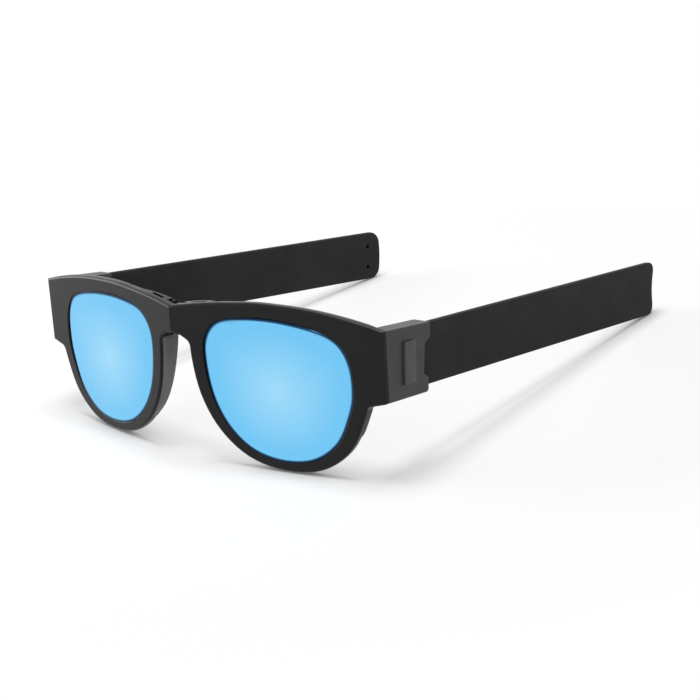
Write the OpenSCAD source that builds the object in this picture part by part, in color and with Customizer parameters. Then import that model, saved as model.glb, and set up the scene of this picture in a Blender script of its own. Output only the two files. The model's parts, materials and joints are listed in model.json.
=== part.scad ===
// Folding sunglasses with snap-curl bands in place of temples.
// +X is the wearer's left, the lenses face -Y, +Z is up. Modelled as they lie on a table,
// on the bottoms of the rims and the tips of the bands. Millimetres.

/* [Lenses] */
// Width of one lens
lens_w = 51.6; // [46:0.2:56]
// Height of one lens
lens_h = 41.1; // [36:0.2:46]
// Thickness of a lens at its edge
lens_t = 2.0; // [1.8:0.1:2.4]
// Height of the bulge in a lens face
lens_bulge = 0.8; // [0.8:0.05:1]
// How far the edge of a lens face lies behind the frame's face
lens_set_back = 0.5; // [0.3:0.1:1.2]
// How far a lens edge reaches into the groove of its rim
groove_deep = 0.7; // [0.4:0.1:1]
// Width of that groove
groove_w = 0.9; // [0.6:0.1:1.2]
// Gap between the two lens openings across the nose
lens_gap = 23.1; // [22:0.1:27]

/* [Frame halves] */
// Thickness of a frame half
frame_t = 4.4; // [4:0.1:5.5]
// Width of a rim beside its lens
rim_side = 5; // [4:0.1:6]
// Width of a rim above and below its lens
rim_high = 3.65; // [3:0.05:5]
// How far the rim's outline lies above the lens centre
rim_up = 0.65; // [0:0.05:1]
// How much thinner the rims are at their bottoms than at the brow
rim_thin = 1.8; // [0:0.1:1.9]
// How far the frame's top line drops at the bridge
bridge_drop = 3.3; // [2:0.1:5]
// Height of the bridge where the halves meet
bridge_h = 8.6; // [8:0.1:10]
// Radius of the halves' lower corners where they meet
bridge_r = 2.2; // [1:0.1:2.4]
// Backward angle of each half from the bridge
wrap = 9; // [5:0.5:10]
// Forward lean of the frame's top against the bands
lean = 3.6; // [2:0.2:6]
// Gap between the halves where they meet
butt_gap = 0.1; // [0.05:0.05:0.3]

/* [Nose pads] */
// How far a pad stands out of the rim's nose wall
pad_proud = 0.7; // [0.4:0.1:1.2]
// How deep a pad sits in that wall
pad_deep = 0.9; // [0.5:0.1:1.5]
// Length of a pad's top, along the frame's thickness
pad_l = 5.4; // [4.5:0.1:6]
// Height of a pad
pad_h = 26; // [20:0.5:27]

/* [Bridge hinge] */
// Radius of the hinge pin
pin_r = 0.75; // [0.6:0.05:0.9]
// Running clearance between the pin and the turning knuckle
pin_clear = 0.05; // [0.02:0.01:0.08]
// Outer radius of a knuckle
knuckle_r = 1.5; // [1.3:0.05:1.7]
// Height of the knuckle stack
hinge_h = 5.4; // [5:0.1:5.7]
// Gap between two knuckles
knuckle_gap = 0.1; // [0.05:0.05:0.3]
// Thickness of a hinge leaf
leaf_t = 0.9; // [0.6:0.1:1.1]
// Reach of a hinge leaf from the pin
leaf_l = 8.5; // [8:0.1:9.5]
// Radius of a leaf screw's thread
leaf_screw_r = 0.55; // [0.4:0.05:0.6]
// Thickness of the bridge wall in front of the hinge
front_wall = 2.4; // [2:0.1:2.8]

/* [End clips] */
// Length of a clip along its band
clip_l = 18.6; // [18:0.1:22]
// Height of a clip
clip_h = 20.2; // [19.8:0.1:22]
// Thickness of a clip across its band
clip_t = 5.6; // [5.4:0.1:6.5]
// Thickness of a clip's outer wall
clip_wall = 1.0; // [0.8:0.1:1.2]
// Thickness of a clip's top and bottom walls
clip_edge = 1.1; // [0.8:0.1:1.2]
// Thickness of the inner cover plate
cover_t = 0.9; // [0.7:0.1:1]
// Depth of the hollow in the clip's rear edge
clip_waist = 1.9; // [1:0.1:2.2]
// Height of that hollow
clip_waist_h = 8.6; // [6:0.2:10]
// Distance between the band slots of the two clips
temple_gap = 139.2; // [137:0.2:143]

/* [Release tabs] */
// Height of a tab
tab_h = 11.7; // [9:0.1:12.5]
// Length of a tab
tab_l = 5.8; // [5:0.1:6.2]
// Distance from a tab's front to the clip's rear edge
tab_from_rear = 11.2; // [11:0.1:11.5]
// How far the front of a tab stands out of the clip
tab_proud = 0.8; // [0.4:0.1:1.2]
// Travel of a tab when it is pressed
tab_travel = 0.8; // [0.5:0.1:0.8]
// Gap all round a tab in its window
tab_gap = 0.15; // [0.1:0.05:0.25]

/* [Bands] */
// Height of a band
band_h = 17.7; // [15:0.1:18]
// Thickness of a band's sleeve
band_t = 2.2; // [2:0.1:2.5]
// Height of the bow across a straight band
band_bow = 0.9; // [0.4:0.1:1]
// Length from the clip's front edge to the band's tip
temple_l = 146.6; // [135:0.2:155]
// Straight root of a band behind its clip
band_root_l = 12; // [11:0.5:16]
// Turn of each flexing place when a band is curled
link_turn = 38; // [30:1:38]
// Gap between two lengths of a band at rest
link_gap = 0.1; // [0.05:0.05:0.2]
// Height of the steel strip in a band
strip_h = 13; // [10:0.5:14]
// Thickness of the steel strip
strip_t = 0.3; // [0.2:0.05:0.4]
// Length of sleeve past the end of the steel strip
strip_short = 9.2; // [8.5:0.1:11]
// Inward angle of each band
toe_in = 3.2; // [0:0.2:4]

/* [Band tips] */
// Radius of the tip's corners
tip_r = 3.8; // [2:0.1:6]
// Radius of a tip hole
tip_hole_r = 0.8; // [0.5:0.05:1]
// Distance between the two tip holes
tip_hole_gap = 7.8; // [5:0.1:9]
// Distance from the tip's end to the holes
tip_hole_in = 6.4; // [5:0.1:7]
// Depth of a tip hole
tip_hole_deep = 1.2; // [0.6:0.1:1.4]

/* [Hidden] */
$fn = 64;
LINKS = 8; // flexing places in one band
BIG = 120;
FIT = 0.05; // gap of a sliding or plug-in fit
SMOOTH = 5; // steps in each stretch of an outline
SHELL = "#2b2b2d";
CLIP_GREY = "#4a4a4c";
RUBBER = "#232324";
STEEL = "#b4b6ba";
LENS_BLUE = "#86d0f8";

// The lens shape, as shares of half its width and height, from the outer side round by the top
LENS_SHAPE = [
    [0.99, 0.12], [0.955, 0.52], [0.80, 0.80], [0.50, 0.93], [0, 1], [-0.465, 0.98],
    [-0.795, 0.89], [-0.97, 0.65], [-1, 0.31], [-0.915, -0.20], [-0.71, -0.615],
    [-0.39, -0.90], [0.02, -1], [0.44, -0.92], [0.76, -0.635], [0.93, -0.215]
];

// Places on a frame half: u runs outward from the bridge, v runs up
lens_u = lens_gap / 2 + lens_w / 2;
brow_top = 1.65;
lens_v = brow_top - rim_up - rim_high - lens_h / 2;
rim_bottom = lens_v + rim_up - lens_h / 2 - rim_high;
bridge_top = brow_top - bridge_drop;
bridge_low = bridge_top - bridge_h;
lens_r = (pow(lens_w / 2, 2) + pow(lens_bulge, 2)) / (2 * lens_bulge);

// Places in a temple: its origin is the clip's front edge, midway across the band
temple_x = temple_gap / 2;
temple_z = -12.2;
clip_top = 9.7;
clip_bottom = clip_top - clip_h;
clip_fall = 0.5;
clip_out = clip_t / 2 - 0.2;
clip_in = clip_out - clip_t;
hollow_out = clip_out - clip_wall;
hollow_in = clip_in + cover_t;
hollow_top = clip_top - clip_fall - clip_edge;
hollow_bottom = clip_bottom + clip_edge;
tab_y = clip_l - tab_from_rear;
tongue_end = tab_y - 1.2;
notch_l = 1.3;
notch_y = tongue_end - notch_l - 0.8;
plug_l = notch_y - 0.7;
end_u = (temple_x + clip_out) / cos(wrap);
end_drop = brow_top - (temple_z + clip_top);
temple_y = end_u * sin(wrap) + 1.7;

// The band's mid-line is an arc of this radius, hollow on the outer side
bow_r = pow(band_h / 2, 2) / (2 * band_bow) + band_bow / 2;
bow_x = bow_r - band_bow / 2;
root_y = clip_l + band_root_l;
link_l = (temple_l - root_y) / LINKS;
sleeve_front = tab_y + tab_l + 0.8;
sleeve_end = clip_l - clip_waist - 1;
tip_hole_y = temple_l - tip_hole_in;
tip_corner_y = temple_l - tip_r + FIT;
tip_corner_z = band_h / 2 - tip_r + FIT;

// The bridge hinge: its axis lies behind the face where the halves meet
hinge_y = front_wall + knuckle_r + 0.3;
hinge_top = bridge_top - 0.6;
knuckle_h = (hinge_h - 2 * knuckle_gap) / 3;
pocket_w = 4;
pocket_y = -knuckle_r - 0.3;
knuckle_room = knuckle_r + 0.25;

// A smooth closed line through the points p
function between(a, b, c, d, t) =
    0.5 * (2 * b + (c - a) * t + (2 * a - 5 * b + 4 * c - d) * t * t + (3 * b - a - 3 * c + d) * t * t * t);
function smooth_line(p) = [
    for (i = [0 : len(p) - 1], j = [0 : SMOOTH - 1])
        between(p[(i + len(p) - 1) % len(p)], p[i], p[(i + 1) % len(p)], p[(i + 2) % len(p)], j / SMOOTH)
];

// The lens outline grown sideways and upward, and moved up from the lens centre
function lens_line(side = 0, high = 0, up = 0) = [
    for (p = smooth_line(LENS_SHAPE))
        [lens_u + p[0] * (lens_w / 2 + side), lens_v + up + p[1] * (lens_h / 2 + high)]
];
function rim_line(grow = 0) = lens_line(rim_side + grow, rim_high + grow, rim_up);

// Below this height the back of a frame half slopes forward
thin_top = -8;
thin_slope = atan(rim_thin / (thin_top - rim_bottom));
function back_at(v) = frame_t - max(0, thin_top - v) * tan(thin_slope);

// A nose pad starts just behind the frame's face and narrows to the frame's back at its foot
pad_front = 1;
pad_top = -12.6;
pad_slope = atan((pad_front + pad_l - back_at(pad_top - pad_h)) / pad_h);

// The frame's top line falls in a parabola to the bridge and in another to the clip
function top_v(u) = u < lens_u
    ? brow_top - bridge_drop * pow((lens_u - u) / lens_u, 2)
    : brow_top - end_drop * pow((u - lens_u) / (end_u - lens_u), 2);

// How the whole rests: on the lowest rim point and the round lower corner of the tips
function on_half(u, v, d) = [
    u * cos(wrap) + v * sin(lean) * sin(wrap) - d * cos(lean) * sin(wrap),
    u * sin(wrap) - v * sin(lean) * cos(wrap) + d * cos(lean) * cos(wrap),
    v * cos(lean) + d * sin(lean)
];
rim_points = [for (p = rim_line(), d = [0, back_at(p[1])]) on_half(p[0], p[1], d)];
tip_y = temple_y + tip_corner_y * cos(toe_in);
tip_z = temple_z - tip_corner_z;
function tilt_from(p) =
    atan2(tip_z - p[2], tip_y - p[1]) - asin(tip_r / norm([tip_y - p[1], tip_z - p[2]]));
rest_tilt = max([for (p = rim_points) tilt_from(p)]);
function row_y(p) = p[1] * cos(rest_tilt) + p[2] * sin(rest_tilt);
function row_z(p) = -p[1] * sin(rest_tilt) + p[2] * cos(rest_tilt);
rest_lift = -min([for (p = rim_points) row_z(p)]);
row_front = min([for (p = rim_points) row_y(p)]);
row_back = row_y([0, tip_y, temple_z + tip_corner_z]) + tip_r + band_t / 2 * sin(toe_in);
row_mid = (row_front + row_back) / 2;

side_name = ["left", "right"];

// Placing: at rest on the table, mirrored to a side, on a frame half, at the hinge, in a temple
module on_table() {
    translate([0, -row_mid, rest_lift]) rotate([-rest_tilt, 0, 0]) children();
}
module on_side(s) {
    on_table() mirror([s == "left" ? 0 : 1, 0, 0]) children();
}
module in_half() {
    rotate([0, 0, wrap]) rotate([lean, 0, 0]) children();
}
module at_hinge() {
    translate([0, hinge_y, 0]) rotate([lean, 0, 0]) rotate([0, 0, wrap]) children();
}
module in_temple() {
    translate([temple_x, temple_y, temple_z]) rotate([0, 0, toe_in]) children();
}

// A flat outline in u and v given depth from front to back
module plate(front, back) {
    translate([0, back, 0]) rotate([90, 0, 0]) linear_extrude(back - front) children();
}
module block(low, high) {
    translate(low) cube(high - low);
}
// Everything behind the slanted front edge of a clip
module behind_seam(gap = 0) {
    translate([0, gap, clip_top]) rotate([lean, 0, 0]) block([-BIG, 0, -BIG], [BIG, BIG, BIG]);
}

// A frame half without its lens opening
module half_shape() {
    step_v = temple_z + clip_bottom + 0.3;
    inner = [for (i = [0 : 10]) let (u = -1 + (lens_u + 1) * i / 10) [u, top_v(u)]];
    outer = [for (i = [1 : 8]) let (u = lens_u + (end_u + 1 - lens_u) * i / 8) [u, top_v(u)]];
    under = [
        [end_u + 1, step_v], [end_u - 6, step_v - 2], [lens_u, lens_v],
        [10, -14], [3, bridge_low], [-1, bridge_low]
    ];
    difference() {
        offset(r = -2.4) offset(r = 2.4) {
            polygon(rim_line());
            polygon(concat(inner, outer, under));
        }
        translate([0, bridge_low]) difference() {
            translate([-2, -1]) square([bridge_r + 2, bridge_r + 1]);
            translate([bridge_r, bridge_r]) circle(bridge_r);
        }
    }
}
// The groove round a lens opening, which the bead of the lens fills
module groove_shape() {
    groove_front = lens_set_back + 0.3;
    plate(groove_front, groove_front + groove_w) polygon(lens_line(groove_deep, groove_deep));
}
// Everything in front of a sloping plane that meets the frame's back at a height
module in_front_of(v, slope) {
    translate([0, back_at(v), v]) rotate([-slope, 0, 0]) block([-BIG, -BIG, -BIG], [BIG, 0, BIG]);
}
// The solid that a nose pad fills
module pad_shape() {
    intersection() {
        difference() {
            polygon(rim_line(pad_proud));
            polygon(rim_line(-pad_deep));
        }
        translate([0, pad_top - pad_h]) square([lens_u / 2, pad_h]);
    }
}
module pad_solid() {
    intersection() {
        plate(pad_front, pad_front + pad_l) pad_shape();
        in_front_of(pad_top - pad_h, pad_slope);
    }
}
// What a leaf, its screws and its knuckles leave free behind the bridge: a pocket open at the
// back, which shows from above as a slot with a thin wall behind it
module hinge_room() {
    at_hinge() {
        block([-pocket_w, pocket_y, -BIG], [pocket_w, BIG, hinge_top + 0.1]);
        block([-pocket_w, pocket_y, -BIG], [pocket_w, -leaf_t / 2, BIG]);
        block([-knuckle_room, pocket_y, -BIG], [knuckle_room, BIG, BIG]);
        block([0, -leaf_t / 2, hinge_top - hinge_h - 0.1], [leaf_l + 0.1, BIG, hinge_top + 0.1]);
        for (z = leaf_screw_z) leaf_screw_hole(z);
    }
}
leaf_screw_z = [hinge_top - hinge_h * 0.26, hinge_top - hinge_h * 0.74];
leaf_screw_u = leaf_l - 2.2;
leaf_screw_deep = 2;
module leaf_screw_hole(z) {
    translate([leaf_screw_u, -leaf_t / 2 - leaf_screw_deep, z]) rotate([-90, 0, 0])
        cylinder(h = leaf_screw_deep + leaf_t, r = leaf_screw_r);
}
// The block and tongue that plug into a clip
tongue_out = hollow_out - 0.1;
tongue_in = tongue_out - 1.8;
tongue_h = 9;
notch_deep = 0.8;
module clip_plug() {
    intersection() {
        in_temple() behind_seam(-1);
        in_temple() difference() {
            union() {
                block([clip_in - 2, -2, hollow_bottom + FIT], [hollow_out - FIT, plug_l, hollow_top - FIT]);
                block([tongue_in, 0, -tongue_h / 2], [tongue_out, tongue_end, tongue_h / 2]);
            }
            block([tongue_in - 1, notch_y, -tongue_h / 2 - 1],
                [tongue_in + notch_deep, notch_y + notch_l, tongue_h / 2 + 1]);
        }
    }
}

module front_half() {
    color(SHELL) difference() {
        union() {
            difference() {
                in_half() difference() {
                    intersection() {
                        plate(0, frame_t) half_shape();
                        in_front_of(thin_top, thin_slope);
                    }
                    plate(-1, frame_t + 1) polygon(lens_line());
                    groove_shape();
                    pad_solid();
                }
                in_temple() intersection() {
                    behind_seam();
                    block([clip_in, -2, -BIG], [BIG, BIG, BIG]);
                }
                in_temple() block([clip_out, -BIG, -BIG], [BIG, BIG, BIG]);
            }
            clip_plug();
        }
        block([-BIG, -BIG, -BIG], [butt_gap / 2, BIG, BIG]);
        hinge_room();
    }
}

module lens() {
    color(LENS_BLUE) in_half() {
        intersection() {
            plate(-1, lens_set_back + lens_t) polygon(lens_line());
            translate([lens_u, lens_set_back - lens_bulge + lens_r, lens_v - lens_h])
                cylinder(h = 2 * lens_h, r = lens_r, $fn = 720);
        }
        difference() {
            groove_shape();
            plate(lens_set_back, lens_set_back + lens_t) polygon(lens_line(-1, -1));
        }
    }
}

module nose_pad() {
    color("#3a3a3c") in_half() pad_solid();
}

// Knuckles and a leaf: the left half carries the two outer knuckles, the right half the middle one
module hinge_leaf(s) {
    outer_low = [hinge_top - hinge_h, hinge_top - knuckle_h];
    lows = s == "left" ? outer_low : [hinge_top - 2 * knuckle_h - knuckle_gap];
    bore_r = s == "left" ? pin_r : pin_r + pin_clear;
    color(STEEL) at_hinge() difference() {
        union() {
            block([knuckle_r + 0.35, -leaf_t / 2, hinge_top - hinge_h], [leaf_l, leaf_t / 2, hinge_top]);
            for (z = lows) {
                translate([0, 0, z]) cylinder(h = knuckle_h, r = knuckle_r);
                block([0, -leaf_t / 2, z], [knuckle_r + 0.5, leaf_t / 2, z + knuckle_h]);
            }
        }
        translate([0, 0, hinge_top - hinge_h - 1]) cylinder(h = hinge_h + 2, r = bore_r);
        for (z = leaf_screw_z) leaf_screw_hole(z);
    }
}
module hinge_screws() {
    color(STEEL) at_hinge() for (z = leaf_screw_z) {
        leaf_screw_hole(z);
        translate([leaf_screw_u, leaf_t / 2, z]) rotate([-90, 0, 0])
            cylinder(h = 0.4, r = leaf_screw_r + 0.4);
    }
}
module hinge_pin() {
    color(STEEL) on_table() at_hinge() {
        translate([0, 0, hinge_top - hinge_h - 0.2]) cylinder(h = hinge_h + 0.2, r = pin_r);
        translate([0, 0, hinge_top]) cylinder(h = 0.5, r = pin_r + 0.5);
    }
}

// The side of a clip, in the temple's y and z, with its hollow rear edge
module clip_side() {
    rear_top = clip_top - clip_fall;
    waist = clip_waist_h / 2;
    difference() {
        polygon([
            [0, clip_top], [clip_l, rear_top], [clip_l, clip_bottom], [-1, clip_bottom], [-1, clip_top]
        ]);
        translate([clip_l, (rear_top + clip_bottom) / 2]) polygon([
            [0.1, waist + 1.5], [-0.45, waist + 1], [-clip_waist + 0.3, waist + 0.3],
            [-clip_waist, waist - 0.5], [-clip_waist, 0.5 - waist],
            [-clip_waist + 0.3, -waist - 0.3], [-0.45, -waist - 1], [0.1, -waist - 1.5]
        ]);
    }
}
// A flat y-z outline given thickness across the band
module across(low, high) {
    translate([low, 0, 0]) rotate([90, 0, 90]) linear_extrude(high - low) children();
}
tab_z = -0.45 - tab_h / 2;
module tab_window(gap) {
    block([hollow_out - 1, tab_y - gap, tab_z - gap],
        [clip_out + 2, tab_y + tab_l + gap, tab_z + tab_h + gap]);
}
flange_t = 0.9;
flange_out = hollow_out - 0.1;
flange_in = flange_out - flange_t;
arm_in = tongue_in - 0.8;

module clip_housing() {
    color(CLIP_GREY) in_temple() intersection() {
        behind_seam();
        difference() {
            across(clip_in, clip_out) clip_side();
            block([hollow_in, -2, hollow_bottom], [hollow_out, sleeve_end, hollow_top]);
            block([clip_in - 1, -2, hollow_bottom], [hollow_in + 0.01, clip_l + 1, hollow_top]);
            sleeve(sleeve_front, clip_l + 1, FIT);
            rivets();
            tab_window(tab_gap);
        }
    }
}
module clip_cover() {
    color(CLIP_GREY) in_temple() difference() {
        across(clip_in, hollow_in) intersection() {
            clip_side();
            translate([plug_l + 0.1, clip_bottom + clip_edge + FIT])
                square([clip_l, clip_h - clip_fall - 2 * clip_edge - 2 * FIT]);
        }
        sleeve(sleeve_front, clip_l + 1, FIT);
    }
}
// A press tab: a wedge in the window, a flange that keeps it in, and an arm with the catch
module release_tab() {
    catch_y = notch_y + 0.15;
    catch_l = notch_l - 0.3;
    color(CLIP_GREY) in_temple() {
        difference() {
            across(flange_out - 0.2, clip_out + tab_proud) translate([tab_y, tab_z]) square([tab_l, tab_h]);
            translate([clip_out + tab_proud, tab_y, 0]) rotate([0, 0, atan(tab_proud / tab_l)])
                block([0, -1, -BIG], [BIG, BIG, BIG]);
        }
        block([flange_in, tab_y - 0.5, tab_z - 0.8], [flange_out, tab_y + tab_l + 0.5, tab_z + tab_h + 0.8]);
        block([arm_in, tab_y - 0.4, -3.5], [flange_in + 0.1, tab_y + 2, 3.5]);
        block([arm_in, catch_y, -3.5], [arm_in + 0.7, tab_y, 3.5]);
        block([arm_in, catch_y, -3.5], [tongue_in + notch_deep - 0.1, catch_y + catch_l, 3.5]);
    }
}
// A bowed leaf spring, drawn at the height that it has under a pressed tab
module tab_spring() {
    rise = flange_in - tab_travel - 0.05 - hollow_in;
    leaf = 0.25;
    half_l = tab_h / 2 - 0.8;
    r = (pow(half_l, 2) + pow(rise, 2)) / (2 * rise);
    color(STEEL) in_temple() translate([hollow_in + rise - r, tab_y + 2.6, tab_z + tab_h / 2])
    intersection() {
        rotate([-90, 0, 0]) difference() {
            cylinder(h = 2.4, r = r, $fn = 128);
            translate([0, 0, -1]) cylinder(h = 5, r = r - leaf, $fn = 128);
        }
        block([r - rise, -1, -BIG], [BIG, BIG, BIG]);
    }
}

// The section of a band at mid-thickness mid, thickness t and height h, with round edges
module band_section(t, h, round_edge) {
    flat_h = round_edge ? h - t : h;
    edge_angle = asin(flat_h / 2 / bow_r);
    translate([bow_x, 0]) {
        intersection() {
            difference() {
                circle(r = bow_r + t / 2, $fn = 360);
                circle(r = bow_r - t / 2, $fn = 360);
            }
            polygon([
                [0, 0],
                2 * bow_r * [-cos(edge_angle), sin(edge_angle)],
                2 * bow_r * [-cos(edge_angle), -sin(edge_angle)]
            ]);
        }
        if (round_edge)
            for (e = [-1, 1]) translate(bow_r * [-cos(edge_angle), e * sin(edge_angle)]) circle(r = t / 2);
    }
}
module along(front, back) {
    translate([0, back, 0]) rotate([90, 0, 0]) linear_extrude(back - front) children();
}
module sleeve(front, back, grow = 0) {
    along(front, back) band_section(band_t + 2 * grow, band_h + 2 * grow, true);
}
module strip(front, back) {
    along(front, back) band_section(strip_t, strip_h, false);
}
// The wedges cut from the inner side of a flexing place, so that it can turn
module flex_cut(y, toward) {
    turn = link_turn / 2 + 1;
    translate([0, y, 0]) mirror([0, toward > 0 ? 0 : 1, 0]) translate([0, -link_gap / 2, 0]) {
        block([-BIG, 0, -BIG], [BIG, link_l / 2, BIG]);
        rotate([0, 0, turn]) block([-BIG, 0, -BIG], [0, link_l / 2, BIG]);
    }
}
module length_cut(k) {
    if (k > 0) flex_cut(root_y + (k - 1) * link_l, -1);
    if (k < LINKS) flex_cut(root_y + k * link_l, 1);
}
function length_front(k) = k == 0 ? sleeve_front : root_y + (k - 1) * link_l;
function length_back(k) = k == LINKS ? temple_l : root_y + k * link_l;
strip_front = sleeve_front + 0.6;
strip_back = temple_l - strip_short;

module band_length(k) {
    color(RUBBER) in_temple() difference() {
        sleeve(length_front(k), length_back(k));
        length_cut(k);
        if (k == LINKS) tip_corners();
        strip(max(strip_front, length_front(k) - 1), min(strip_back, length_back(k) + 1));
        if (k == 0) rivets();
        if (k == LINKS)
            for (z = [-tip_hole_gap / 2, tip_hole_gap / 2])
                translate([-band_t, tip_hole_y, z]) rotate([0, 90, 0])
                    cylinder(h = tip_hole_face(z) + tip_hole_deep, r = tip_hole_r);
    }
}
// From one band thickness inward of the mid-line to the inner face at height z
function tip_hole_face(z) = band_t + bow_x - sqrt(pow(bow_r + band_t / 2, 2) - z * z);
// What the round corners leave off the tip
module tip_corners() {
    arc = [for (a = [0 : 15 : 90]) tip_r * [cos(a), sin(a)]];
    beyond = 2 * tip_r * [[0, 1], [1, 1], [1, 0]];
    for (e = [0, 1]) mirror([0, 0, e]) translate([0, tip_corner_y, tip_corner_z])
        across(-band_h, band_h) polygon(concat(arc, beyond));
}
module strip_length(k) {
    color(STEEL) in_temple() difference() {
        strip(max(strip_front, length_front(k)), min(strip_back, length_back(k)));
        length_cut(k);
        if (k == 0) rivets();
    }
}

// The clamp plate and its two rivets hold the sleeve and strip in the clip
rivet_r = 0.7;
rivet_z = [-5, 5];
rivet_y = (sleeve_front + sleeve_end) / 2;
clamp_out = -band_t / 2 - band_bow / 2;
clamp_under = 0.65; // gap under the hollow's top
clamp_half_h = hollow_top - clamp_under;
module band_clamp() {
    color(STEEL) in_temple() difference() {
        block([hollow_in, sleeve_front, -clamp_half_h], [clamp_out, sleeve_end - 0.1, clamp_half_h]);
        rivets();
    }
}
module rivets() {
    for (z = rivet_z) translate([hollow_in, rivet_y, z]) rotate([0, 90, 0])
        cylinder(h = clip_out - hollow_in - 0.5, r = rivet_r);
}
module band_rivets() {
    color(STEEL) in_temple() rivets();
}

for (s = side_name) {
    on_side(s) front_half();
    on_side(s) lens();
    on_side(s) nose_pad();
    on_side(s) hinge_leaf(s);
    on_side(s) hinge_screws();
    on_side(s) clip_housing();
    on_side(s) clip_cover();
    on_side(s) release_tab();
    on_side(s) tab_spring();
    on_side(s) band_clamp();
    on_side(s) band_rivets();
    on_side(s) band_length(0);
    on_side(s) strip_length(0);
    for (k = [1 : LINKS]) {
        on_side(s) band_length(k);
        on_side(s) strip_length(k);
    }
}
hinge_pin();
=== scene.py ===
import json
import math

import bmesh
import bpy
from mathutils import Matrix, Vector


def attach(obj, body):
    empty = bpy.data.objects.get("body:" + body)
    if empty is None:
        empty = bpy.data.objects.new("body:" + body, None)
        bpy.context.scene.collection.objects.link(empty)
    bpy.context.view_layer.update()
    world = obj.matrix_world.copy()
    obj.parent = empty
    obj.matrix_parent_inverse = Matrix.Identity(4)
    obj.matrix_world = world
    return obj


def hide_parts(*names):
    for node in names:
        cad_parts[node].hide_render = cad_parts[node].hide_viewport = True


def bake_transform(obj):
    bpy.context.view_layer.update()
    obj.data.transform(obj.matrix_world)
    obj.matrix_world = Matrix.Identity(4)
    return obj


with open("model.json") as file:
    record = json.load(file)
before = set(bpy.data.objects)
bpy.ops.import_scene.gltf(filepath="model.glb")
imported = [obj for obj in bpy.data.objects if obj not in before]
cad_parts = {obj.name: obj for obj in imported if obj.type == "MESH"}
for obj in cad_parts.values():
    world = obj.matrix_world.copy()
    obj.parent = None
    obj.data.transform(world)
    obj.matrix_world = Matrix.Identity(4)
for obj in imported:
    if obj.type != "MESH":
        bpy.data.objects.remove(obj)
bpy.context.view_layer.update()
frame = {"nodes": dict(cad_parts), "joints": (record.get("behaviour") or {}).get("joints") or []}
mm = 0.001
print("frame loaded")


# Where things are: the wear frame has its origin between the halves, at the front of the bridge

def joint(name):
    return next(j for j in frame["joints"] if j["name"] == name)


def place(name):
    return Vector(joint(name)["pos_m"])


# millimetres and degrees, as in the part's source
fit = {"wrap": 9.0, "lean": 3.6, "toeIn": 3.2, "templeX": 69.6, "templeY": 13.135, "templeZ": -12.2,
       "curlStart": 30.6, "bandEnd": 146.6}

curlAxis = Vector(joint("left_curl_1")["axis"])
restTilt = math.atan2(curlAxis.y, curlAxis.z)
tilted = Matrix.Rotation(-restTilt, 4, "X") @ Matrix.Scale(mm, 4)
inTemple = Matrix.Translation((fit["templeX"], fit["templeY"], fit["templeZ"])) @ \
    Matrix.Rotation(math.radians(fit["toeIn"]), 4, "Z")
inHalf = Matrix.Rotation(math.radians(fit["wrap"]), 4, "Z") @ Matrix.Rotation(math.radians(fit["lean"]), 4, "X")
firstCurl = inTemple @ Vector((0, fit["curlStart"], 0))
wear = Matrix.Translation(place("left_curl_1") - tilted @ firstCurl) @ tilted
linkLength = (place("left_curl_2") - place("left_curl_1")).length / mm
sides = {"left": 1, "right": -1}


# Shaping

# angles in degrees, distances in metres
meshing = {"sharpFrom": 32, "flatFrom": 9, "roundFrom": 30, "flatWithin": 1, "merge": 1e-7, "cadMerge": 2e-6}
touch = 0.1  # millimetres within which a place counts as on a face


def shadeByAngle(bm):
    # large faces, with many corners, stay flat, so that the roundings beside them don't bend their reflections
    for face in bm.faces:
        face.smooth = len(face.verts) < meshing["flatFrom"]
    for edge in bm.edges:
        edge.smooth = len(edge.link_faces) == 2 and edge.calc_face_angle(0) < math.radians(meshing["sharpFrom"])


def makePiece(name, bm, material):
    bmesh.ops.remove_doubles(bm, verts=bm.verts, dist=meshing["merge"])
    bmesh.ops.recalc_face_normals(bm, faces=bm.faces)
    shadeByAngle(bm)
    mesh = bpy.data.meshes.new(name)
    bm.to_mesh(mesh)
    bm.free()
    piece = bpy.data.objects.new(name, mesh)
    bpy.context.scene.collection.objects.link(piece)
    mesh.materials.append(material)
    return piece


def sideMatrix(side, frameMatrix):
    # from a left-hand frame in millimetres to the part's frame, mirrored for the right
    return wear @ Matrix.Scale(sides[side], 4, (1, 0, 0)) @ frameMatrix


def toSide(bm, side, frameMatrix):
    bmesh.ops.transform(bm, matrix=sideMatrix(side, frameMatrix), verts=bm.verts)


def ease(value, low, high):
    t = min(1, max(0, (value - low) / (high - low)))
    return t * t * (3 - 2 * t)


def evenly(start, end, steps):
    return [start + (end - start) * i / steps for i in range(steps + 1)]


def cutAway(bm, cutter):
    # takes one closed body out of another and returns what is left; both are used up
    pieces = []
    for body in (bm, cutter):
        bmesh.ops.recalc_face_normals(body, faces=body.faces)
        mesh = bpy.data.meshes.new("cut")
        body.to_mesh(mesh)
        body.free()
        pieces.append(bpy.data.objects.new("cut", mesh))
        bpy.context.scene.collection.objects.link(pieces[-1])
    cut = pieces[0].modifiers.new("cut", "BOOLEAN")
    cut.object = pieces[1]
    bpy.context.view_layer.update()
    done = pieces[0].evaluated_get(bpy.context.evaluated_depsgraph_get())
    left = bmesh.new()
    left.from_mesh(bpy.data.meshes.new_from_object(done))
    for piece in pieces:
        bpy.data.objects.remove(piece)
    return left


def cadCopy(node):
    # a merged copy of a node, flat regions joined, ready for its edges to be rounded
    bm = bmesh.new()
    bm.from_mesh(frame["nodes"][node].data)
    bmesh.ops.remove_doubles(bm, verts=bm.verts, dist=meshing["cadMerge"])
    bmesh.ops.dissolve_limit(bm, angle_limit=math.radians(meshing["flatWithin"]), verts=bm.verts, edges=bm.edges)
    return bm


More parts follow.
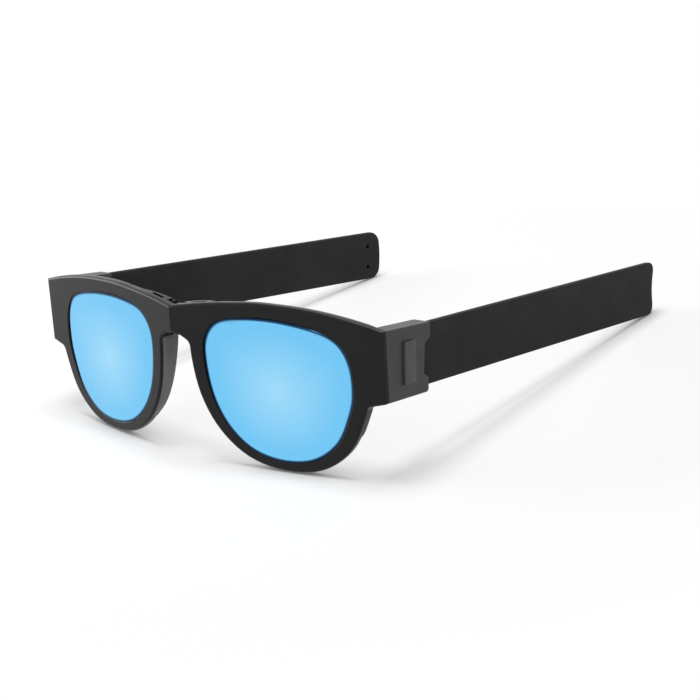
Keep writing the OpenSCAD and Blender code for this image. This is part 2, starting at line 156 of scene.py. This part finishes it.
def drawOut(bm, rows):
    # a closed section drawn through the rows and capped at both ends
    ring = [bm.verts.new(p) for p in rows[0]]
    bm.faces.new(ring)
    for row in rows[1:]:
        fresh = [bm.verts.new(p) for p in row]
        for i in range(len(ring)):
            bm.faces.new((ring[i - 1], ring[i], fresh[i], fresh[i - 1]))
        ring = fresh
    bm.faces.new(ring)
    bmesh.ops.recalc_face_normals(bm, faces=bm.faces)


def softenEdges(bm, width, chosen, segments=3):
    # rounds the sharp edges that chosen picks
    picked = [e for e in bm.edges if len(e.link_faces) == 2
              and e.calc_face_angle(0) > math.radians(meshing["roundFrom"]) and chosen(e)]
    bmesh.ops.bevel(bm, geom=picked, offset=width * mm, offset_type="OFFSET", segments=segments, profile=0.5,
                    affect="EDGES", clamp_overlap=False, loop_slide=False, material=-1)


# Materials

def linear(hexColor):
    parts = [int(hexColor[i:i + 2], 16) / 255 for i in (1, 3, 5)]
    return [p / 12.92 if p < 0.04045 else ((p + 0.055) / 1.055) ** 2.4 for p in parts] + [1.0]


def addNode(tree, kind, settings=None, inputs=None):
    node = tree.nodes.new(kind)
    for name, value in (settings or {}).items():
        setattr(node, name, value)
    for name, value in (inputs or {}).items():
        socket = node.inputs[name]
        if isinstance(value, bpy.types.NodeSocket):
            tree.links.new(value, socket)
        else:
            socket.default_value = value
    return node


def newMaterial(name):
    material = bpy.data.materials.new(name)
    material.use_nodes = True
    tree = material.node_tree
    shader = tree.nodes["Principled BSDF"]
    spot = addNode(tree, "ShaderNodeTexCoord").outputs["Object"]
    return material, tree, shader, spot


def colourRamp(tree, factor, stops):
    ramp = addNode(tree, "ShaderNodeValToRGB", inputs={"Fac": factor})
    while len(ramp.color_ramp.elements) < len(stops):
        ramp.color_ramp.elements.new(0.5)
    for element, (position, hexColor) in zip(ramp.color_ramp.elements, stops):
        element.position = position
        element.color = linear(hexColor)
    return ramp.outputs["Color"]


# nylon frames come satin from an etched mould: a fine even grain that softens each reflection
mouldedNylon = {"roughness": 0.3, "ior": 1.5, "specular": 0.2, "cloudMm": 9, "cloudDetail": 2.0,
                "grainMm": 0.35, "grainDetail": 2.0, "depthMm": 0.01, "strength": 0.35}
# ABS clips from a spark-eroded mould: a little coarser than the frame, and painted greyer than it for the light
# that falls on their sides
mattAbs = {"roughness": 0.5, "ior": 1.54, "specular": 0.3, "cloudMm": 6, "cloudDetail": 2.0,
           "grainMm": 0.3, "grainDetail": 3.0, "depthMm": 0.015, "strength": 0.4}
# silicone rubber off a blasted mould: dead matt, with a faint dusty unevenness
bandRubber = {"roughness": 0.62, "ior": 1.41, "specular": 0.14, "cloudMm": 12, "cloudDetail": 3.0,
              "grainMm": 0.4, "grainDetail": 2.0, "depthMm": 0.012, "strength": 0.3}
padRubber = dict(bandRubber, roughness=0.5)
clouds = {"darkTo": 0.35, "lightFrom": 0.65}


def mouldedMaterial(name, values, dark, light):
    # clouds of two close shades, and the grain of the mould as a bump
    material, tree, shader, spot = newMaterial(name)
    cloud = addNode(tree, "ShaderNodeTexNoise", inputs={"Vector": spot, "Scale": 1 / (values["cloudMm"] * mm),
                                                        "Detail": values["cloudDetail"]})
    stops = [(clouds["darkTo"], dark), (clouds["lightFrom"], light)]
    tree.links.new(colourRamp(tree, cloud.outputs["Fac"], stops), shader.inputs["Base Color"])
    grain = addNode(tree, "ShaderNodeTexNoise", inputs={"Vector": spot, "Scale": 1 / (values["grainMm"] * mm),
                                                        "Detail": values["grainDetail"]})
    bump = addNode(tree, "ShaderNodeBump", inputs={"Height": grain.outputs["Fac"], "Strength": values["strength"],
                                                   "Distance": values["depthMm"] * mm})
    tree.links.new(bump.outputs["Normal"], shader.inputs["Normal"])
    shader.inputs["Roughness"].default_value = values["roughness"]
    shader.inputs["IOR"].default_value = values["ior"]
    shader.inputs["Specular IOR Level"].default_value = values["specular"]
    return material


# the paler centre is a painted reflection; the deep blue border is painted shade where the lens meets the frame
mirrorCoat = {"centre": "#a4defc", "edge": "#76caf8", "shadePaintedBorder": "#153a5c", "roughness": 0.14, "metallic": 0.9,
              "edgeFrom": 0.85, "edgeTo": 0.96, "shadePaintedBorderFrom": 0.98}


def mirrorCoatMaterial():
    # a vacuum-coated ice-blue mirror on polycarbonate: paler in the middle as a painted reflection, with a thin
    # deep blue border at the outline as painted shade from the frame's edge
    values = mirrorCoat
    material, tree, shader, _ = newMaterial("ice blue mirror coat")
    rim = addNode(tree, "ShaderNodeAttribute", {"attribute_name": "towardEdge"})
    stops = [(0.0, values["centre"]), (values["edgeFrom"], values["edge"]), (values["edgeTo"], values["edge"]),
             (values["shadePaintedBorderFrom"], values["shadePaintedBorder"])]
    tree.links.new(colourRamp(tree, rim.outputs["Fac"], stops), shader.inputs["Base Color"])
    shader.inputs["Metallic"].default_value = values["metallic"]
    shader.inputs["Roughness"].default_value = values["roughness"]
    return material


springSteel = {"roughness": 0.32, "grainMm": 0.25, "stretch": 0.04, "detail": 2.0, "darkTo": 0.3, "lightFrom": 0.7}


def springSteelMaterial(name, dark, light):
    # rolled strip: fine lines along it
    values = springSteel
    material, tree, shader, spot = newMaterial(name)
    along = addNode(tree, "ShaderNodeMapping", inputs={"Vector": spot, "Scale": (1.0, values["stretch"], 1.0)})
    lines = addNode(tree, "ShaderNodeTexNoise", inputs={"Vector": along.outputs["Vector"],
                                                        "Scale": 1 / (values["grainMm"] * mm),
                                                        "Detail": values["detail"]})
    stops = [(values["darkTo"], dark), (values["lightFrom"], light)]
    tree.links.new(colourRamp(tree, lines.outputs["Fac"], stops), shader.inputs["Base Color"])
    shader.inputs["Metallic"].default_value = 1.0
    shader.inputs["Roughness"].default_value = values["roughness"]
    return material


nylon = mouldedMaterial("satin moulded nylon", mouldedNylon, "#0a0a0c", "#0f0f11")
# the clip's greyer colour is painted light, for the light that falls on its side
clipPlasticPaintedGrey = mouldedMaterial("matt moulded ABS", mattAbs, "#333335", "#39393b")
# the tab is a lighter copy of the clip's ABS: painted light, for the light on its sloping face
tabPlasticPaintedLight = mouldedMaterial("matt moulded ABS, tab painted lighter", mattAbs, "#3c3c3e", "#444446")
bandSilicone = mouldedMaterial("black band silicone", bandRubber, "#232324", "#29292a")
# grey silicone, painted lighter for the light and reflection that fall on the nose side
padSiliconePaintedLight = mouldedMaterial("grey pad silicone painted lighter", padRubber, "#626261", "#6c6c6a")
mirror = mirrorCoatMaterial()
steel = springSteelMaterial("rolled spring steel", "#9a9ca0", "#b9bbbf")
hingeMetal = springSteelMaterial("gunmetal plated hinge steel", "#5b5c5f", "#6d6e71")
print("materials made")


# Lenses: a front bulged across its width on a flat back, with its share of the way to the outline for the coat

lens = {"width": 51.6, "height": 41.1, "midU": 37.35, "midV": -23.2, "front": 0.5, "back": 2.5, "bulge": 0.8,
        "rings": 18, "lip": 0.15, "edgeRings": (0.995, 0.985, 0.965), "innerRing": 0.94, "curveSteps": 8,
        "shape": [(0.99, 0.12), (0.955, 0.52), (0.80, 0.80), (0.50, 0.93), (0, 1), (-0.465, 0.98),
                  (-0.795, 0.89), (-0.97, 0.65), (-1, 0.31), (-0.915, -0.20), (-0.71, -0.615),
                  (-0.39, -0.90), (0.02, -1), (0.44, -0.92), (0.76, -0.635), (0.93, -0.215)]}


def smoothLine(points, steps):
    # a closed curve through all the points
    count = len(points)
    line = []
    for i in range(count):
        a, b, c, d = (Vector(points[(i + k) % count]) for k in (-1, 0, 1, 2))
        for j in range(steps):
            t = j / steps
            line.append(0.5 * (2 * b + (c - a) * t + (2 * a - 5 * b + 4 * c - d) * t ** 2
                               + (3 * b - a - 3 * c + d) * t ** 3))
    return line


lensLine = [Vector((lens["midU"] + p.x * lens["width"] / 2, lens["midV"] + p.y * lens["height"] / 2))
            for p in smoothLine(lens["shape"], lens["curveSteps"])]


def fromLens(u, v):
    # how far a place on the plate is from the lens's outline
    spot = Vector((u, v))
    return min((spot - p).length for p in lensLine)


def growRing(bm, edges, move):
    # the next ring of a shell: each new vertex goes where move says
    made = bmesh.ops.extrude_edge_only(bm, edges=edges)["geom"]
    verts = [g for g in made if isinstance(g, bmesh.types.BMVert)]
    fresh = set(verts)
    for vert in verts:
        vert.co = move(vert.co)
    return [g for g in made if isinstance(g, bmesh.types.BMEdge) and all(v in fresh for v in g.verts)]


def makeLens(side):
    middle = Vector((lens["midU"], lens["midV"]))
    bm = bmesh.new()
    share = bm.verts.layers.float.new("towardEdge")

    def frontAt(u):
        return lens["front"] - lens["bulge"] * (1 - ((u - lens["midU"]) / (lens["width"] / 2)) ** 2)

    def ringAt(size, depth=None):
        def move(co):
            u = lens["midU"] + (co.x - lens["midU"]) * size
            v = lens["midV"] + (co.z - lens["midV"]) * size
            return Vector((u, frontAt(u) if depth is None else depth, v))
        return move

    back = [bm.verts.new((p.x, lens["back"], p.y)) for p in lensLine]
    edges = [bm.edges.new((back[i - 1], back[i])) for i in range(len(back))]
    bmesh.ops.contextual_create(bm, geom=edges)
    edges = growRing(bm, edges, lambda co: Vector((co.x, frontAt(co.x) + lens["lip"], co.z)))
    sizes = [*lens["edgeRings"], *(lens["innerRing"] * (1 - i / lens["rings"]) for i in range(lens["rings"]))]
    last = 1.0
    for size in sizes:
        edges = growRing(bm, edges, ringAt(size / last))
        last = size
    bmesh.ops.contextual_create(bm, geom=edges)
    for vert in bm.verts:
        spot = vert.co.xz
        nearest = min(lensLine, key=lambda p: (spot - p).length)
        vert[share] = min(1, (spot - middle).length / (nearest - middle).length)
    toSide(bm, side, inHalf)
    piece = makePiece(f"mirrorLens.{side}", bm, mirror)
    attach(piece, f"{side}_front")
    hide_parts(f"lens_{side}")


# Frame halves: the node's own shape, its outline edges rounded, more at the back than at the front

frontHalf = {"thick": 4.4, "round": 0.7, "openingRound": 0.25, "openingReach": 1.0,
             "backRound": 1.2, "backFrom": 2.4, "backFromU": 16.5, "backToU": 64.0, "recessV": -4.4,
             "cornerRound": 0.3, "cornerU": 71.5, "seamU": 1.0, "straightOn": 0.95, "sideways": 0.3}
brow = {"thin": 1.2, "fromU": 7.0, "toU": 15.0, "lensKeep": 2.6}
slit = {"fromU": 6.6, "toU": 12.2, "front": 2.0, "back": 3.0, "deep": 1.6, "above": 5, "beside": 1, "within": 0.01}


def makeFrontHalf(side):
    node = f"front_half_{side}"
    bm = cadCopy(node)
    fromPlate = sideMatrix(side, inHalf)
    toPlate = fromPlate.inverted()
    turn = toPlate.to_3x3()

    def places(edge):
        return [toPlate @ v.co for v in edge.verts]

    def facing(edge, sign):
        # between a face that looks to the front (-1) or the back (1) and one that looks sideways
        looks = sorted(sign * (turn @ face.normal).normalized().y for face in edge.link_faces)
        return looks[1] > frontHalf["straightOn"] and abs(looks[0]) < frontHalf["sideways"]

    def inOpening(edge):
        return all(fromLens(p.x, p.z) < frontHalf["openingReach"] for p in places(edge))

    def atCorner(edge):
        return all(p.x > frontHalf["cornerU"] for p in places(edge))

    def keptSharp(edge):
        # at the seam, or in the slit near it
        spots = places(edge)
        front, back = slit["front"] - slit["within"], slit["back"] + slit["within"]
        inSlit = all(p.x < slit["toU"] + touch and front < p.y < back for p in spots)
        return inSlit or all(p.x < frontHalf["seamU"] for p in spots)

    def atBack(edge):
        # away from the hinge, and from the recess that takes the clip, save for its upper corner
        spots = places(edge)
        if not all(p.y > frontHalf["backFrom"] and p.x > frontHalf["backFromU"] for p in spots):
            return False
        heights = [p.z for p in spots]
        recessTop = max(heights) > frontHalf["recessV"] and min(heights) > frontHalf["recessV"] - touch
        return recessTop or all(p.x < frontHalf["backToU"] for p in spots)

    # the brow thins towards its top, behind
    for vert in bm.verts:
        spot = toPlate @ vert.co
        behind = spot.y > frontHalf["thick"] - touch and spot.z > frontHalf["recessV"]
        if behind and fromLens(spot.x, spot.z) > brow["lensKeep"]:
            spot.y -= brow["thin"] * ease(spot.x, brow["fromU"], brow["toU"])
            vert.co = fromPlate @ spot

    # the slit behind the brow's edge, above the hinge's leaf
    top = max(p.z for p in (toPlate @ v.co for v in bm.verts) if p.x < slit["toU"] + slit["beside"])
    low = Vector((slit["fromU"], slit["front"], top - slit["deep"]))
    high = Vector((slit["toU"], slit["back"], top + slit["above"]))
    cutter = bmesh.new()
    bmesh.ops.create_cube(cutter, size=1, matrix=Matrix.Translation((low + high) / 2) @
                          Matrix.Diagonal((high - low).to_4d()))
    toSide(cutter, side, inHalf)
    bm = cutAway(bm, cutter)
    bm.normal_update()

    softenEdges(bm, frontHalf["openingRound"], lambda e: facing(e, -1) and inOpening(e), 2)
    softenEdges(bm, frontHalf["cornerRound"], lambda e: facing(e, -1) and atCorner(e), 2)
    softenEdges(bm, frontHalf["round"],
                lambda e: facing(e, -1) and not (inOpening(e) or atCorner(e) or keptSharp(e)), 4)
    softenEdges(bm, frontHalf["backRound"], lambda e: facing(e, 1) and atBack(e) and not inOpening(e), 4)
    piece = makePiece(f"frameHalf.{side}", bm, nylon)
    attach(piece, f"{side}_front")
    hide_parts(node)


# Clips and tabs

clip = {"round": 0.45, "rearFrom": 14.0, "rearTo": 18.6, "reach": 0.5, "topReach": 0.9, "topFrom": -2.0,
        "topTo": 6.0, "cornerRound": 1.1, "cornerTop": 8.8, "cornerLow": -10.3, "rearEdge": 16.5,
        "frontKeep": 0.4, "insideKeep": 2.0}
tab = {"front": 7.4, "back": 13.2, "low": -6.3, "high": 5.4, "closing": 0.12, "over": 2.0, "frontOver": 1.0,
       "outer": 2.1, "round": 0.3, "roundFrom": 2.9, "roundTo": 8.7}


def makeClip(side):
    node = f"clip_housing_{side}"
    bm = cadCopy(node)
    fromTemple = sideMatrix(side, inTemple)
    toTemple = fromTemple.inverted()

    def places(edge):
        return [toTemple @ v.co for v in edge.verts]

    def outside(edge):
        spots = places(edge)
        corner = all(p.z > clip["cornerTop"] or p.z < clip["cornerLow"] or p.y > clip["rearEdge"] for p in spots)
        inside = all(abs(p.x) < clip["insideKeep"] for p in spots)
        return corner and not inside and all(p.y > clip["frontKeep"] for p in spots)

    def lowCorner(edge):
        return all(p.y > clip["rearTo"] - touch and p.z < clip["cornerLow"] for p in places(edge))

    # the rear edge reaches further back, most at the top
    for vert in bm.verts:
        spot = toTemple @ vert.co
        reach = clip["reach"] + clip["topReach"] * ease(spot.z, clip["topFrom"], clip["topTo"])
        spot.y += reach * ease(spot.y, clip["rearFrom"], clip["rearTo"])
        vert.co = fromTemple @ spot
    softenEdges(bm, clip["cornerRound"], lowCorner, 4)
    softenEdges(bm, clip["round"], outside)
    piece = makePiece(f"clipHousing.{side}", bm, clipPlasticPaintedGrey)
    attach(piece, f"{side}_front")
    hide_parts(node)

    node = f"release_tab_{side}"
    bm = cadCopy(node)
    for vert in bm.verts:
        # the tab all but fills its window, save for the slot at its front
        spot = toTemple @ vert.co
        if spot.x > tab["outer"]:
            spot.z += tab["closing"] * (ease(spot.z, tab["high"] - tab["over"], tab["high"])
                                        - ease(-spot.z, -tab["low"] - tab["over"], -tab["low"]))
            spot.y += tab["closing"] * ease(spot.y, tab["back"] - tab["over"], tab["back"])
            spot.y -= tab["closing"] * ease(-spot.y, -tab["front"] - tab["frontOver"], -tab["front"])
        vert.co = fromTemple @ spot
    softenEdges(bm, tab["round"],
                lambda e: all(p.x > tab["roundFrom"] and p.y < tab["roundTo"] for p in places(e)))
    piece = makePiece(f"releaseTab.{side}", bm, tabPlasticPaintedLight)
    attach(piece, f"{side}_tab")
    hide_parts(node)


# Nose pads: drawn down the nose side of the rim, rounding into its wall at the front and at the foot

nosePad = {"top": -11.4, "foot": -38.6, "front": 0.72, "back": 6.4, "backFoot": 3.0, "proud": 0.7, "deep": 0.85,
           "fairing": 1.7, "round": 0.8, "footRound": 1.2, "topRound": 1.5, "topSteps": (2, 20, 40, 60, 75),
           "footFade": 7.0, "footKeep": 0.05, "slopeOver": 0.6, "rows": 34, "around": 5}
rim = {"side": 5.0, "high": 3.65, "up": 0.65}
rimLine = [Vector((lens["midU"] + p.x * (lens["width"] / 2 + rim["side"]),
                   lens["midV"] + rim["up"] + p.y * (lens["height"] / 2 + rim["high"])))
           for p in smoothLine(lens["shape"], lens["curveSteps"])]


def rimAt(v):
    # where the nose side of the rim's outline is at this height
    for a, b in zip(rimLine, rimLine[1:] + rimLine[:1]):
        if a.x < lens["midU"] and b.x < lens["midU"] and min(a.y, b.y) <= v < max(a.y, b.y):
            return a.lerp(b, (v - a.y) / (b.y - a.y))


def padRow(v):
    size = nosePad
    spot = rimAt(v)
    along = rimAt(v + size["slopeOver"]) - rimAt(v - size["slopeOver"])
    out = Vector((-along.y, along.x)).normalized()
    fromTop = min(1, (size["top"] - v) / size["topRound"])
    fromFoot = min(1, (v - size["foot"]) / size["footFade"])
    proud = size["proud"] * math.sqrt(1 - (1 - fromTop) ** 2) * math.sin(math.radians(90 * fromFoot))
    share = (v - size["foot"]) / (size["top"] - size["foot"])
    back = size["backFoot"] + (size["back"] - size["backFoot"]) * share
    back -= size["topRound"] * (1 - math.sqrt(1 - (1 - fromTop) ** 2))
    turns = [math.radians(90 * i / size["around"]) for i in range(size["around"] + 1)]
    section = [(-size["deep"], size["front"])]
    section += [(proud * math.sin(a), size["front"] + size["fairing"] * (1 - math.cos(a))) for a in turns]
    edge = size["footRound"] + (size["round"] - size["footRound"]) * fromFoot
    section += [(proud - edge * (1 - math.cos(a)), back - edge * (1 - math.sin(a))) for a in turns]
    section += [(-size["deep"], back)]
    return [(spot.x + out.x * n, depth, spot.y + out.y * n) for n, depth in section]


def makeNosePad(side):
    size = nosePad
    heights = [size["top"] - size["topRound"] * (1 - math.cos(math.radians(a))) for a in size["topSteps"]]
    heights += evenly(size["top"] - size["topRound"], size["foot"] + size["footKeep"], size["rows"])
    bm = bmesh.new()
    drawOut(bm, [padRow(v) for v in heights])
    toSide(bm, side, inHalf)
    piece = makePiece(f"nosePad.{side}", bm, padSiliconePaintedLight)
    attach(piece, f"{side}_front")
    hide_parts(f"nose_pad_{side}")


# Bands: a closed section bowed across its height, drawn out along the band in rows

band = {"height": 17.7, "thick": 2.2, "bow": 0.9, "start": 14.2, "tipCorner": 3.8, "edge": 0.55, "across": 14,
        "along": 14, "holeR": 0.8, "holeDeep": 1.2, "holeZ": 3.9, "holeY": 140.2, "tongue": 0.7, "tongueFit": 0.14,
        "firstBend": (-0.313, 1.262), "bend": (-1.366, 1.366)}
strip = {"height": 13.0, "thick": 0.3, "start": 14.8, "end": 137.4, "edge": 0.1, "across": 10, "along": 10}
bowR = (band["height"] / 2) ** 2 / (2 * band["bow"]) + band["bow"] / 2
tongue = dict(band, height=band["height"] - band["tongueFit"], thick=band["thick"] - band["tongueFit"])
edgeSteps = [1 - math.cos(math.radians(a)) for a in (0, 22, 45, 67, 90)]
tipSteps = [math.sin(math.radians(a)) for a in (15, 30, 45, 60, 75)]


def bowX(z):
    return bowR - band["bow"] / 2 - math.sqrt(bowR ** 2 - z ** 2)


def sectionAt(y, size, end=None, corner=0.0):
    # one row round the section: half its height falls off round the tip's corners, and its thickness at the edge
    half = size["height"] / 2
    over = y - (end - corner) if end else -1
    high = half if over <= 0 else half - corner + math.sqrt(max(0, corner ** 2 - over ** 2))

    def toOutline(z):
        if over > 0 and abs(z) > half - corner:
            return corner - math.hypot(over, abs(z) - (half - corner))
        return min(half - abs(z), end - y if end else half)

    def halfThick(z):
        inward = min(1, max(0, toOutline(z) / size["edge"]))
        return size["thick"] / 2 - size["edge"] * (1 - math.sqrt(1 - (1 - inward) ** 2))

    inner = high - size["edge"]
    ends = [high - size["edge"] * step for step in edgeSteps]
    heights = ends + [inner * (1 - 2 * i / size["across"]) for i in range(1, size["across"])]
    heights += [-z for z in reversed(ends)]
    return [(bowX(z) + halfThick(z), y, z) for z in heights] + \
        [(bowX(z) - halfThick(z), y, z) for z in reversed(heights)]


def cutTipHoles(bm, side):
    # the two blind dimples near the tip, in the face that lies on the head
    cutter = bmesh.new()
    for z in (band["holeZ"], -band["holeZ"]):
        reach = Matrix.Translation((-band["thick"] / 2 + bowX(z), band["holeY"], z)) @ \
            Matrix.Rotation(math.radians(90), 4, "Y")
        bmesh.ops.create_cone(cutter, cap_ends=True, segments=24, radius1=band["holeR"], radius2=band["holeR"],
                              depth=2 * band["holeDeep"], matrix=reach)
    toSide(cutter, side, inTemple)
    return cutAway(bm, cutter)


def bandStation(k):
    # along the band, in its temple: 0 is inside the clip, k is the middle of the kth length, 8 is the tip
    return fit["curlStart"] + (k - 0.5) * linkLength


def bendAt(piece, side, k):
    # works out the ends of the bend, in shares of a length to both sides of the joint, but does nothing with them;
    # it only bakes the piece's place into its mesh
    low, high = band["firstBend"] if k == 1 else band["bend"]
    ends = [sideMatrix(side, inTemple) @ Vector((0, fit["curlStart"] + (k - 1 + e) * linkLength, 0))
            for e in (low, high)]
    tuple(ends[0])
    tuple(ends[1])
    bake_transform(piece)


def makeBand(side):
    # eight lengths of sleeve with the strip inside
    for k in range(1, 9):
        start = band["start"] if k == 1 else bandStation(k - 1)
        tip = k == 8
        if tip:
            cornerY = fit["bandEnd"] - band["tipCorner"]
            lastY = fit["bandEnd"] - band["edge"]
            stations = evenly(start, cornerY, band["along"])
            stations += [cornerY + (lastY - cornerY) * step for step in tipSteps]
            stations += [fit["bandEnd"] - band["edge"] * step for step in reversed(edgeSteps)]
            rows = [sectionAt(y, band, fit["bandEnd"], band["tipCorner"]) for y in stations]
        else:
            rows = [sectionAt(y, band) for y in evenly(start, bandStation(k), band["along"])]
            # a tongue inside the next length keeps the joint closed when the band curls
            rows += [sectionAt(bandStation(k) + reach, tongue) for reach in (0, band["tongue"])]
        bm = bmesh.new()
        drawOut(bm, rows)
        toSide(bm, side, inTemple)
        if tip:
            bm = cutTipHoles(bm, side)
        piece = makePiece(f"bandSleeve.{side}.{k}", bm, bandSilicone)
        bendAt(piece, side, k)
        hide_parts(f"band_sleeve_{side}_{k}", *([f"band_root_{side}"] if k == 1 else []))

        start = strip["start"] if k == 1 else bandStation(k - 1)
        end = strip["end"] if tip else bandStation(k)
        bm = bmesh.new()
        drawOut(bm, [sectionAt(y, strip) for y in evenly(start, end, strip["along"])])
        toSide(bm, side, inTemple)
        piece = makePiece(f"steelStrip.{side}.{k}", bm, steel)
        bendAt(piece, side, k)
        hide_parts(f"steel_strip_{side}_{k}", *([f"strip_root_{side}"] if k == 1 else []))


for side in sides:
    makeFrontHalf(side)
    makeClip(side)
    makeLens(side)
    makeNosePad(side)
    makeBand(side)
print("pieces made")

# The nodes that are seen as they are
keptNodes = {"clip_cover": clipPlasticPaintedGrey, "hinge_leaf": hingeMetal, "hinge_screws": hingeMetal,
             "hinge_pin": hingeMetal, "tab_spring": steel, "band_clamp": steel, "band_rivets": steel}
for name, node in frame["nodes"].items():
    for start, material in keptNodes.items():
        if name.startswith(start):
            node.data.materials.clear()
            node.data.materials.append(material)


# Floor, light and camera

studio = {"floor": "#f4f4f4", "paper": "#dedede", "floorSize": 4.0, "soft": 0.35, "reachMm": 10, "deep": 0.3,
          "open": 0.85, "shade": 0.25, "litShare": 0.6, "shadowTo": 0.13, "whiteFrom": 0.2, "roughness": 0.9,
          "samples": 16}


def floorMaterial():
    # white paper, burnt out to white: to the camera only the shadows near the object are left,
    # part of them from its closeness and part from the lamps, and mirrors see it plain white
    material, tree, shader, spot = newMaterial("white paper sweep")
    shader.inputs["Base Color"].default_value = linear(studio["floor"])
    shader.inputs["Roughness"].default_value = studio["roughness"]
    shader.inputs["Specular IOR Level"].default_value = 0.0
    near = addNode(tree, "ShaderNodeAmbientOcclusion", {"samples": studio["samples"]},
                   {"Distance": studio["reachMm"] * mm})
    tone = addNode(tree, "ShaderNodeMapRange", inputs={"Value": near.outputs["AO"], "From Min": studio["deep"],
                                                       "From Max": studio["open"], "To Min": studio["shade"],
                                                       "To Max": 1.0})
    paper = addNode(tree, "ShaderNodeEmission", inputs={"Color": (1, 1, 1, 1), "Strength": tone.outputs["Result"]})
    white = addNode(tree, "ShaderNodeEmission", inputs={"Color": (1, 1, 1, 1), "Strength": 1.0})
    path = addNode(tree, "ShaderNodeLightPath")
    mirrored = addNode(tree, "ShaderNodeMixShader", inputs={0: path.outputs["Is Glossy Ray"],
                                                            1: shader.outputs["BSDF"],
                                                            2: white.outputs["Emission"]})
    lit = addNode(tree, "ShaderNodeBsdfDiffuse", inputs={"Color": linear(studio["paper"])})
    around = addNode(tree, "ShaderNodeMixShader", inputs={0: studio["litShare"], 1: paper.outputs["Emission"],
                                                          2: lit.outputs["BSDF"]})
    distance = addNode(tree, "ShaderNodeVectorMath", {"operation": "LENGTH"}, {0: spot})
    away = addNode(tree, "ShaderNodeMapRange", inputs={"Value": distance.outputs["Value"],
                                                       "From Min": studio["shadowTo"],
                                                       "From Max": studio["whiteFrom"]})
    burntOut = addNode(tree, "ShaderNodeMixShader", inputs={0: away.outputs["Result"], 1: around.outputs["Shader"],
                                                            2: white.outputs["Emission"]})
    seen = addNode(tree, "ShaderNodeMixShader", inputs={0: path.outputs["Is Camera Ray"],
                                                        1: mirrored.outputs["Shader"],
                                                        2: burntOut.outputs["Shader"]})
    tree.links.new(seen.outputs["Shader"], tree.nodes["Material Output"].inputs["Surface"])
    return material


def layFloor():
    bm = bmesh.new()
    bmesh.ops.create_grid(bm, x_segments=1, y_segments=1, size=studio["floorSize"] / 2)
    mesh = bpy.data.meshes.new("floor")
    bm.to_mesh(mesh)
    bm.free()
    floor = bpy.data.objects.new("floor", mesh)
    bpy.context.scene.collection.objects.link(floor)
    mesh.materials.append(floorMaterial())


def studioWorld():
    # white to the camera and to mirrors, dimmer as a light
    world = bpy.data.worlds.new("studio")
    bpy.context.scene.world = world
    world.use_nodes = True
    tree = world.node_tree
    tree.nodes.clear()
    path = addNode(tree, "ShaderNodeLightPath")
    soft = addNode(tree, "ShaderNodeBackground", inputs={"Color": (1, 1, 1, 1), "Strength": studio["soft"]})
    white = addNode(tree, "ShaderNodeBackground", inputs={"Color": (1, 1, 1, 1), "Strength": 1.0})
    seen = addNode(tree, "ShaderNodeMath", {"operation": "MAXIMUM"},
                   {0: path.outputs["Is Camera Ray"], 1: path.outputs["Is Glossy Ray"]})
    either = addNode(tree, "ShaderNodeMath", {"operation": "MAXIMUM"},
                     {0: seen.outputs["Value"], 1: path.outputs["Is Transmission Ray"]})
    mix = addNode(tree, "ShaderNodeMixShader", inputs={0: either.outputs["Value"], 1: soft.outputs["Background"],
                                                       2: white.outputs["Background"]})
    out = addNode(tree, "ShaderNodeOutputWorld")
    tree.links.new(mix.outputs["Shader"], out.inputs["Surface"])


def softbox(name, location, target, size, power):
    light = bpy.data.lights.new(name, "AREA")
    light.shape = "RECTANGLE"
    light.size, light.size_y = size
    light.energy = power
    lamp = bpy.data.objects.new(name, light)
    lamp.location = location
    lamp.rotation_euler = (Vector(target) - Vector(location)).to_track_quat("-Z", "Y").to_euler()
    bpy.context.scene.collection.objects.link(lamp)


layFloor()
studioWorld()
softbox("overhead", location=(0.0, 0.0, 0.9), target=(0, 0, 0), size=(0.4, 0.4), power=8)
softbox("left wall", location=(-0.9, -0.35, 0.3), target=(0, 0, 0.02), size=(0.5, 0.6), power=4.5)

# The photograph's camera, solved in the wear frame, in degrees and millimetres
sight = {"azimuth": 42.866, "elevation": 12.059, "roll": -1.075, "distance": 430.705,
         "aim": (71.396, 0.0, -5.403), "focalPx": 1650.0, "imagePx": 700, "sensorMm": 36}


def aimCamera():
    azimuth, elevation, roll = (math.radians(sight[k]) for k in ("azimuth", "elevation", "roll"))
    ahead = Vector((-math.sin(azimuth) * math.cos(elevation), math.cos(azimuth) * math.cos(elevation),
                    -math.sin(elevation)))
    right = Vector((math.cos(azimuth), math.sin(azimuth), 0))
    up = right.cross(ahead)
    turnedRight = right * math.cos(roll) + up * math.sin(roll)
    turnedUp = -right * math.sin(roll) + up * math.cos(roll)
    camera = bpy.data.cameras.new("camera")
    camera.sensor_width = sight["sensorMm"]
    camera.lens = sight["focalPx"] / sight["imagePx"] * camera.sensor_width
    eye = bpy.data.objects.new("camera", camera)
    axes = Matrix((turnedRight, turnedUp, -ahead)).transposed()
    stand = wear @ (Vector(sight["aim"]) - ahead * sight["distance"])
    turn = (Matrix.Rotation(-restTilt, 3, "X") @ axes).to_4x4()
    eye.matrix_world = Matrix.Translation(stand) @ turn
    bpy.context.scene.collection.objects.link(eye)
    bpy.context.scene.camera = eye


aimCamera()
bpy.context.scene.view_settings.view_transform = "Standard"
print("studio and camera ready")
